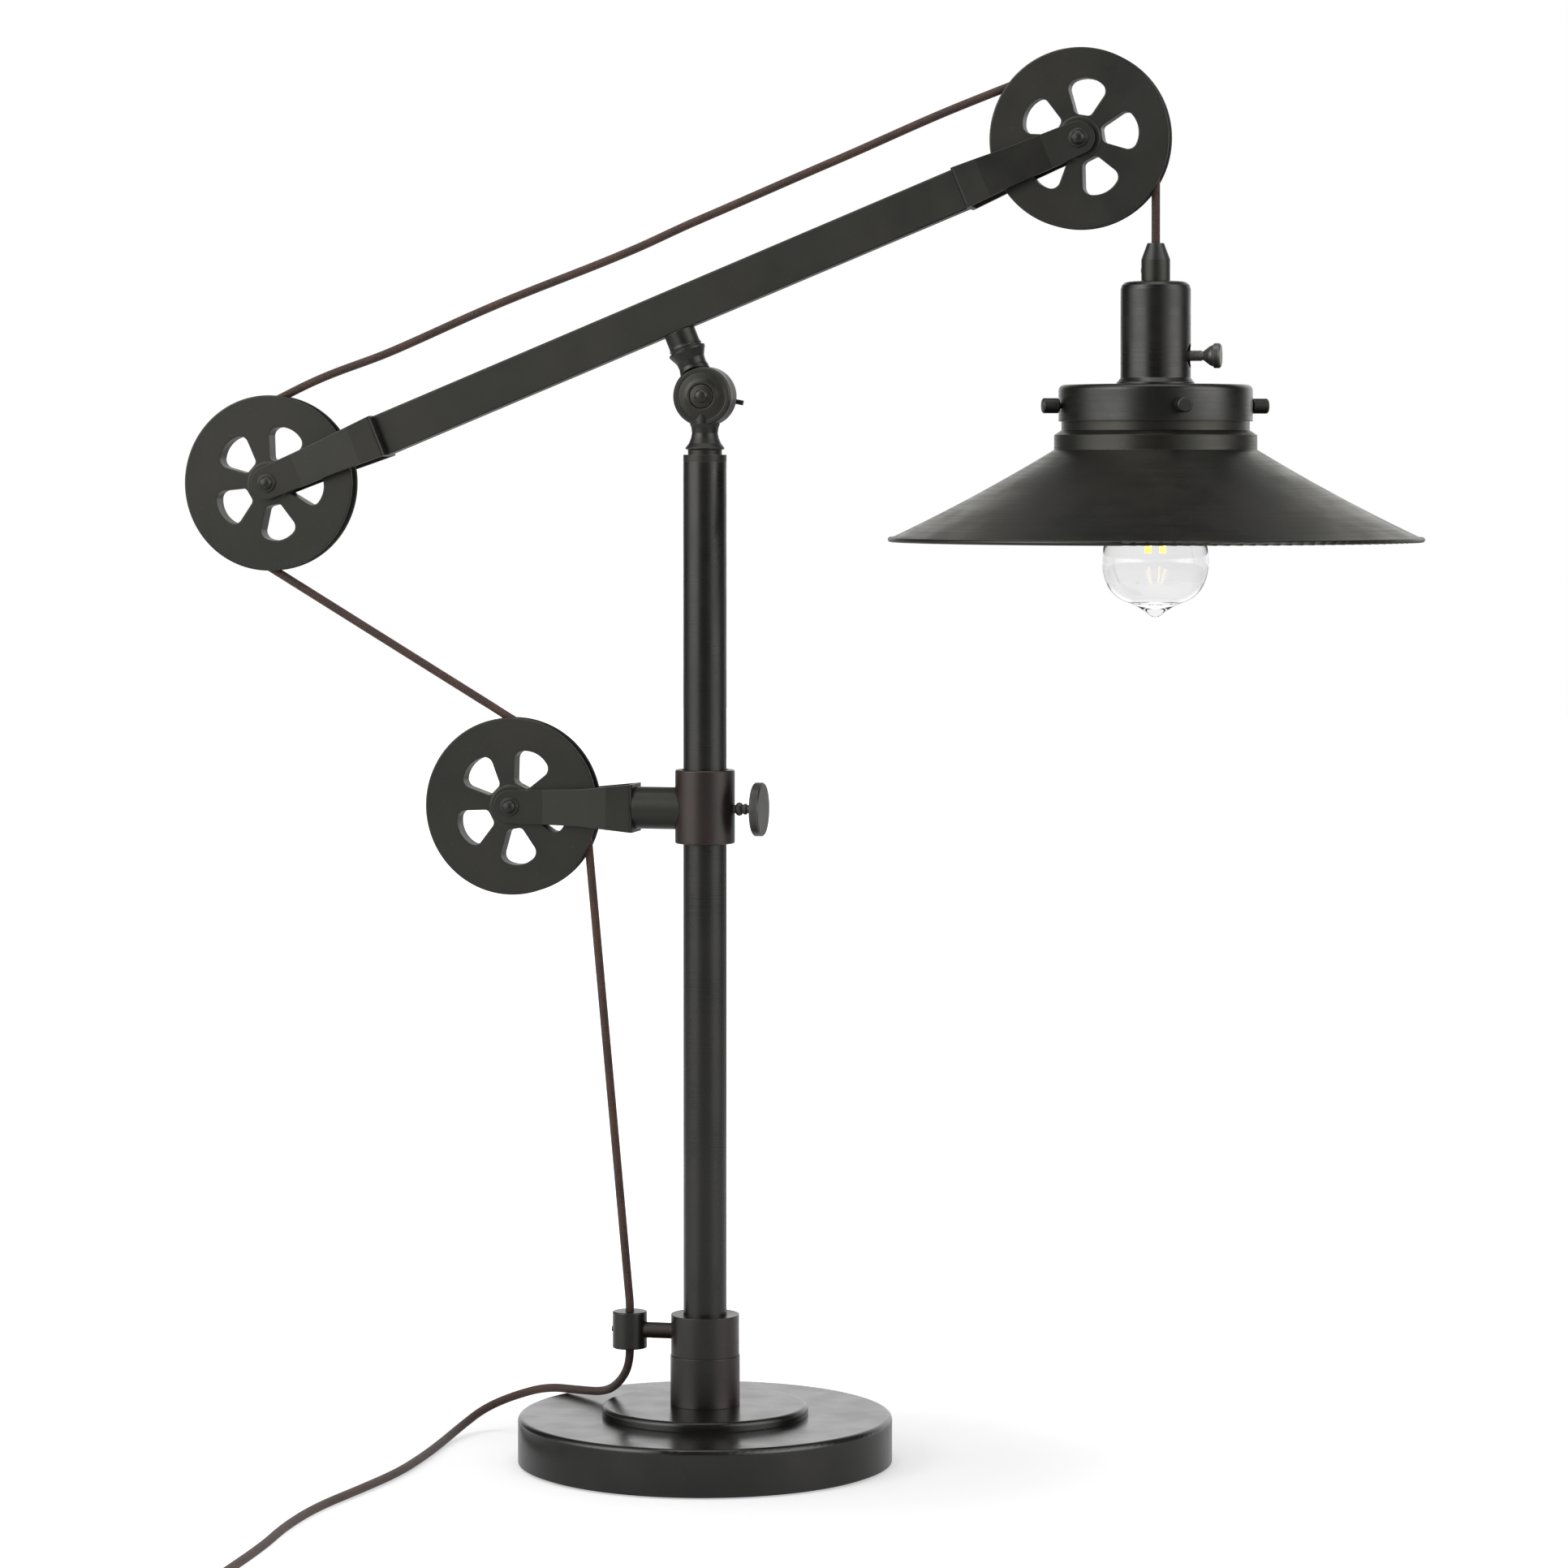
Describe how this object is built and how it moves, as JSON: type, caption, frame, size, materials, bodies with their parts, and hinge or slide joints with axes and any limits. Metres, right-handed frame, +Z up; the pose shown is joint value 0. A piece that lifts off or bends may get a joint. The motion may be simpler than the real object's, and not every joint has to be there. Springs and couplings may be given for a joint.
{
  "type": "architect lamp",
  "caption": "Desk lamp with a tilting beam on a post, a pulley at each end and one on a sliding collar, and a flared shade that hangs from the cord.",
  "frame": {"origin": "centre of the underside of the base, on the axis of the post", "axes": "+Z up along the post, +X towards the shade in the plane of the beam, -Y to the viewer of the picture; the beam tilts up towards +X at rest"},
  "size_m": [0.6594, 0.5795, 0.7365],
  "materials": {
    "felt": "black felt",
    "cast_weight": "bare casting, hidden",
    "dark_bronze": "satin blackened bronze",
    "brown_bronze": "satin blackened bronze, browner",
    "knob_bronze": "satin bronze, handled faces lighter",
    "steel": "plain zinc plated steel, hidden",
    "bush_brass": "plain, hidden",
    "braid": "brown braided cover",
    "black_plastic": "moulded black",
    "porcelain": "white glazed, hidden",
    "clear_glass": "clear blown",
    "filament": "warm yellow phosphor",
    "cap_metal": "bright screw cap",
    "blade_brass": "bright blades"
  },
  "bodies": {
    "stand": {"felt_pad": "felt", "base_weight": "cast_weight", "base_cover": "dark_bronze", "step_disc": "dark_bronze", "base_rod": "steel", "base_nut": "steel", "pedestal_sleeve": "brown_bronze", "post_tube": "dark_bronze", "clamp_collar": "brown_bronze", "cord_clip": "dark_bronze", "clamp_screws": "dark_bronze", "lower_knuckle": "dark_bronze", "knuckle_washer": "bush_brass", "knuckle_bolt": "dark_bronze", "riser_cord": "braid", "cord_tail": "braid", "cord_coil": "braid", "plug": "black_plastic", "plug_blades": "blade_brass"},
    "knuckle_wing": {"knuckle_wing": "dark_bronze"},
    "arm": {"upper_knuckle": "dark_bronze", "beam": "dark_bronze", "front_fork": "dark_bronze", "rear_fork": "dark_bronze", "arm_axles": "dark_bronze", "arm_axle_nuts": "dark_bronze", "arm_fork_screws": "dark_bronze", "arm_cord": "braid"},
    "front_pulley": {"front_pulley": "dark_bronze"},
    "rear_pulley": {"rear_pulley": "dark_bronze"},
    "slider": {"slider_collar": "brown_bronze", "slider_bush": "bush_brass", "slider_arm": "dark_bronze", "middle_fork": "dark_bronze", "middle_axle": "dark_bronze", "middle_axle_nut": "dark_bronze", "middle_fork_screw": "dark_bronze", "middle_cord": "braid"},
    "middle_pulley": {"middle_pulley": "dark_bronze"},
    "collar_screw": {"collar_screw": "knob_bronze"},
    "cross_swing": {"cross_cord_upper": "braid"},
    "cross_slip": {"cross_cord_lower": "braid"},
    "cross_end": {"cross_cord_end": "braid"},
    "drop": {"drop_cord_lower": "braid"},
    "drop_top": {"drop_cord_upper": "braid"},
    "shade": {"strain_relief": "black_plastic", "cord_grip": "dark_bronze", "grip_screw": "dark_bronze", "socket_cup": "dark_bronze", "lampholder": "porcelain", "lamp_contacts": "bush_brass", "switch_body": "black_plastic", "gallery_ring": "dark_bronze", "gallery_screws": "dark_bronze", "shade": "dark_bronze", "bulb_glass": "clear_glass", "bulb_cap": "cap_metal", "bulb_stem": "clear_glass", "bulb_filaments": "filament"},
    "switch_knob": {"switch_knob": "knob_bronze"}
  },
  "joints": [
    {"name": "arm_tilt", "type": "hinge", "parent": "stand", "child": "arm", "pos_m": [0, 0, 0.558], "axis": [0, -1, 0], "range_deg": [-6, 12]},
    {"name": "collar_slide", "type": "slide", "parent": "stand", "child": "slider", "axis": [0, 0, 1], "range_m": [-0.1, 0.012], "deforming": ["riser_cord"]},
    {"name": "front_pulley_turn", "type": "hinge", "parent": "arm", "child": "front_pulley", "pos_m": [0.19851, 0, 0.68977], "axis": [0, -1, 0], "range_deg": [-60, 10]},
    {"name": "rear_pulley_turn", "type": "hinge", "parent": "arm", "child": "rear_pulley", "pos_m": [-0.23788, 0, 0.51256], "axis": [0, -1, 0], "range_deg": [-60, 10]},
    {"name": "middle_pulley_turn", "type": "hinge", "parent": "slider", "child": "middle_pulley", "pos_m": [-0.104, 0, 0.3423], "axis": [0, -1, 0], "range_deg": [-20, 150]},
    {"name": "cross_swing", "type": "hinge", "parent": "arm", "child": "cross_swing", "pos_m": [-0.23788, 0, 0.51256], "axis": [0, -1, 0], "range_deg": [-18.5, 3]},
    {"name": "cross_stretch", "type": "slide", "parent": "cross_swing", "child": "cross_slip", "axis": [0.8597, 0, -0.5108], "range_m": [-0.012, 0.092], "deforming": ["cross_cord_upper", "cross_cord_lower"]},
    {"name": "cross_end_slip", "type": "slide", "parent": "cross_slip", "child": "cross_end", "axis": [0.8597, 0, -0.5108], "range_m": [-0.052, 0.027], "deforming": ["cross_cord_end"]},
    {"name": "drop_plumb", "type": "hinge", "parent": "arm", "child": "drop", "pos_m": [0.038, 0, 0.6978], "axis": [0, -1, 0], "range_deg": [-12.5, 6.5]},
    {"name": "drop_pay", "type": "slide", "parent": "drop", "child": "drop_top", "axis": [0, 0, 1], "range_m": [-0.017, 0.034], "deforming": ["drop_cord_upper"]},
    {"name": "shade_lift", "type": "slide", "parent": "drop", "child": "shade", "axis": [0, 0, 1], "range_m": [-0.0355, 0.0045], "deforming": ["drop_cord_lower"]},
    {"name": "collar_screw_turn", "type": "hinge", "parent": "slider", "child": "collar_screw", "pos_m": [0, 0, 0.3423], "axis": [1, 0, 0], "range_deg": [0, 180]},
    {"name": "knuckle_wing_turn", "type": "hinge", "parent": "stand", "child": "knuckle_wing", "pos_m": [0, 0, 0.558], "axis": [0, 1, 0], "range_deg": [-180, 180]},
    {"name": "switch_turn", "type": "hinge", "parent": "shade", "child": "switch_knob", "pos_m": [0.23751, 0, 0.578], "axis": [1, 0, 0], "continuous": true}
  ],
  "couplings": [
    {"joint": "front_pulley_turn", "follows": "collar_slide", "rad_per_m": 8.97},
    {"joint": "rear_pulley_turn", "follows": "collar_slide", "rad_per_m": 8.97},
    {"joint": "middle_pulley_turn", "follows": "collar_slide", "rad_per_m": -25.64},
    {"joint": "cross_swing", "follows": "collar_slide", "rad_per_m": 3.15},
    {"joint": "cross_stretch", "follows": "collar_slide", "ratio": -0.89},
    {"joint": "cross_end_slip", "follows": "arm_tilt", "m_per_rad": -0.24},
    {"joint": "drop_plumb", "follows": "arm_tilt", "ratio": -1},
    {"joint": "drop_pay", "follows": "arm_tilt", "m_per_rad": 0.16},
    {"joint": "shade_lift", "follows": "collar_slide", "ratio": 0.35}
  ]
}
